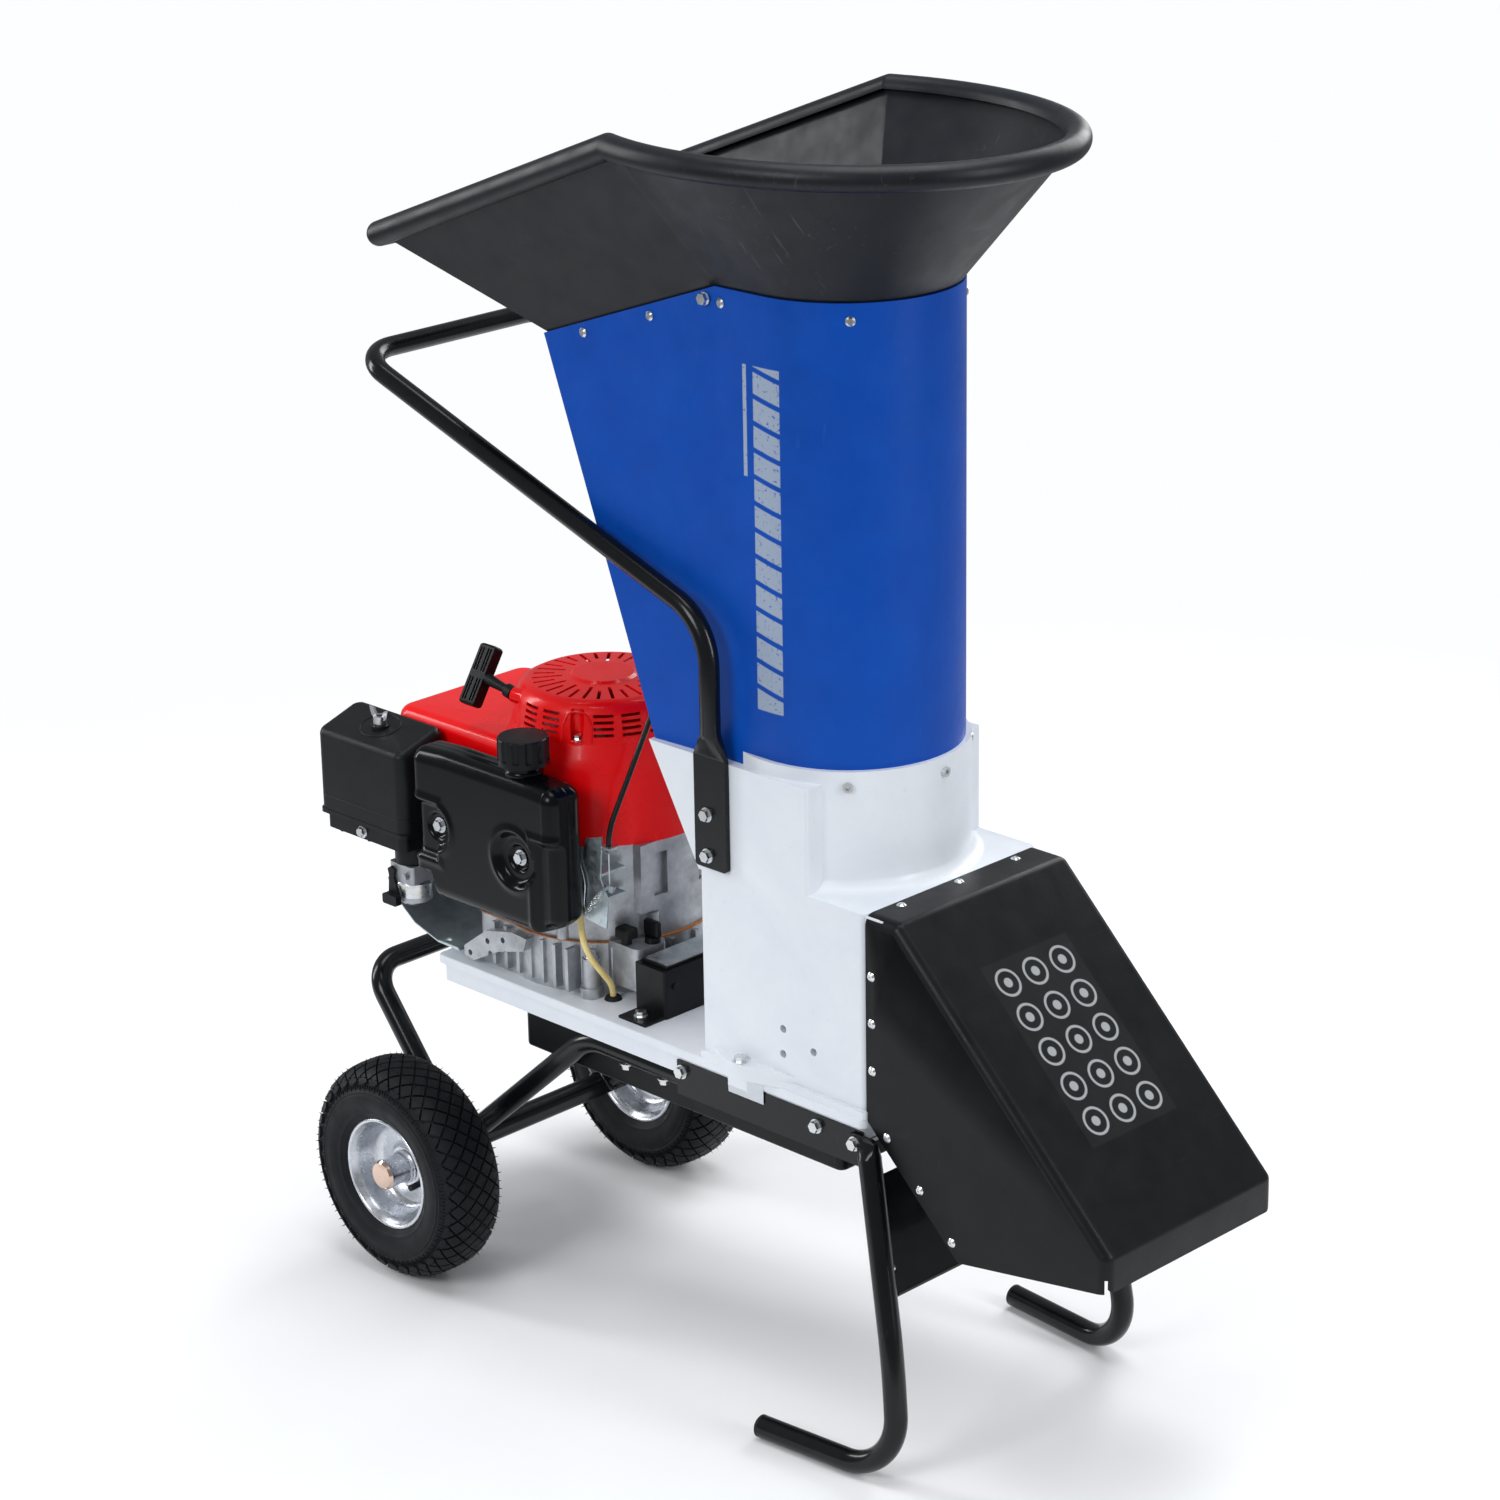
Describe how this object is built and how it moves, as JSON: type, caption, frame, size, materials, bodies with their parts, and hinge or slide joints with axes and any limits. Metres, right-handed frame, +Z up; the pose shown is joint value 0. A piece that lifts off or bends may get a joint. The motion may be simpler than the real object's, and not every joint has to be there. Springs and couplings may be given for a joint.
{
  "type": "garden shredder",
  "caption": "Wheeled petrol garden shredder with flared feed hopper, tall chute, knife-disc housing, engine deck, push handle and discharge hood.",
  "frame": {"origin": "middle of the footprint (bounding box) on the ground", "axes": "+X towards the discharge hood, +Y to the left side of the machine, +Z up"},
  "size_m": [1.148, 0.479, 1.3785],
  "materials": {
    "blue_powder": "gloss powder coat, fine orange peel",
    "silver_paint": "satin silver-white cast paint",
    "black_powder": "semi-gloss powder coat",
    "black_plastic": "moulded, lightly scuffed",
    "gloss_black": "moulded gloss",
    "engine_red": "gloss",
    "cast_alu": "as cast",
    "zinc_steel": "bright zinc plate",
    "steel": "machined",
    "chrome": "bright plate",
    "cast_iron": "machined cast iron",
    "tyre_rubber": "moulded tread",
    "rubber": "moulded",
    "belt_rubber": "fabric-wrapped V-belt",
    "gasket": "orange sealing compound",
    "yellow_hose": "translucent tube",
    "filter_paper": "pleated paper",
    "cable_black": "sheath"
  },
  "bodies": {
    "base": {"air_filter_base": "black_plastic", "air_filter_cover": "black_plastic", "axle_rod": "steel", "belt_guard": "black_powder", "carburettor": "cast_alu", "control_box": "black_powder", "counter_knife": "steel", "crankcase": "cast_alu", "cylinder_block": "cast_alu", "discharge_hood": "black_powder", "drive_belts": "belt_rubber", "engine_bolts": "zinc_steel", "engine_deck": "silver_paint", "engine_shroud": "engine_red", "feed_chute": "blue_powder", "filter_element": "filter_paper", "frame_bolts": "zinc_steel", "front_leg_left": "black_powder", "front_leg_right": "black_powder", "fuel_hose": "yellow_hose", "fuel_tank": "gloss_black", "governor_bracket": "zinc_steel", "heat_shield": "zinc_steel", "hood_rear_plate": "black_powder", "hopper": "black_plastic", "leg_brace_plate": "black_powder", "muffler": "steel", "pop_rivets": "zinc_steel", "push_handle": "black_powder", "recoil_cover": "engine_red", "rotor_bearings": "steel", "rotor_housing": "silver_paint", "rubber_plugs": "rubber", "side_rail_left": "black_powder", "side_rail_right": "black_powder", "sump_gasket": "gasket", "throttle_cable": "cable_black", "valve_cover": "steel", "wheel_frame": "black_powder"},
    "wheel_left": {"tyre_left": "tyre_rubber", "wheel_rim_left": "chrome", "wheel_hub_left": "chrome", "valve_left": "rubber"},
    "wheel_right": {"tyre_right": "tyre_rubber", "wheel_rim_right": "chrome", "wheel_hub_right": "chrome", "valve_right": "rubber"},
    "rotor": {"rotor_shaft": "steel", "rotor_disc": "steel", "rotor_knives": "steel", "knife_screws": "steel", "rotor_pulley": "cast_iron"},
    "crank": {"crankshaft": "steel", "flywheel_fan": "cast_alu", "engine_pulley": "cast_iron"},
    "starter_grip": {"starter_handle": "gloss_black"},
    "tank_cap": {"fuel_cap": "black_plastic"},
    "filter_nut": {"wing_nut": "zinc_steel"},
    "dipstick": {"oil_dipstick": "black_plastic"},
    "choke": {"choke_lever": "black_plastic"}
  },
  "joints": [
    {"name": "wheel_left_spin", "type": "hinge", "parent": "base", "child": "wheel_left", "pos_m": [-0.4145, 0.197, 0.13], "axis": [0, 1, 0], "continuous": true},
    {"name": "wheel_right_spin", "type": "hinge", "parent": "base", "child": "wheel_right", "pos_m": [-0.4145, -0.197, 0.13], "axis": [0, 1, 0], "continuous": true},
    {"name": "crank_spin", "type": "hinge", "parent": "base", "child": "crank", "pos_m": [-0.271, 0, 0.316], "axis": [0, 0, 1], "continuous": true},
    {"name": "rotor_spin", "type": "hinge", "parent": "base", "child": "rotor", "pos_m": [0.13, 0, 0.316], "axis": [0, 0, 1], "continuous": true},
    {"name": "starter_pull", "type": "slide", "parent": "base", "child": "starter_grip", "axis": [-0.9957, -0.0681, 0.0629], "range_m": [0, 0.034]},
    {"name": "fuel_cap_turn", "type": "hinge", "parent": "base", "child": "tank_cap", "pos_m": [-0.246, -0.146, 0.66], "axis": [0, 0, 1], "range_deg": [0, 120]},
    {"name": "filter_nut_turn", "type": "hinge", "parent": "base", "child": "filter_nut", "pos_m": [-0.5, -0.135, 0.64], "axis": [0, 0, 1], "range_deg": [0, 340]},
    {"name": "dipstick_turn", "type": "hinge", "parent": "base", "child": "dipstick", "pos_m": [-0.144, -0.056, 0.44], "axis": [0, 0, 1], "range_deg": [0, 90]},
    {"name": "choke_turn", "type": "hinge", "parent": "base", "child": "choke", "pos_m": [-0.466, -0.156, 0.466], "axis": [0, 1, 0], "range_deg": [0, 40]}
  ],
  "couplings": [
    {"joint": "rotor_spin", "follows": "crank_spin", "ratio": 0.75}
  ]
}
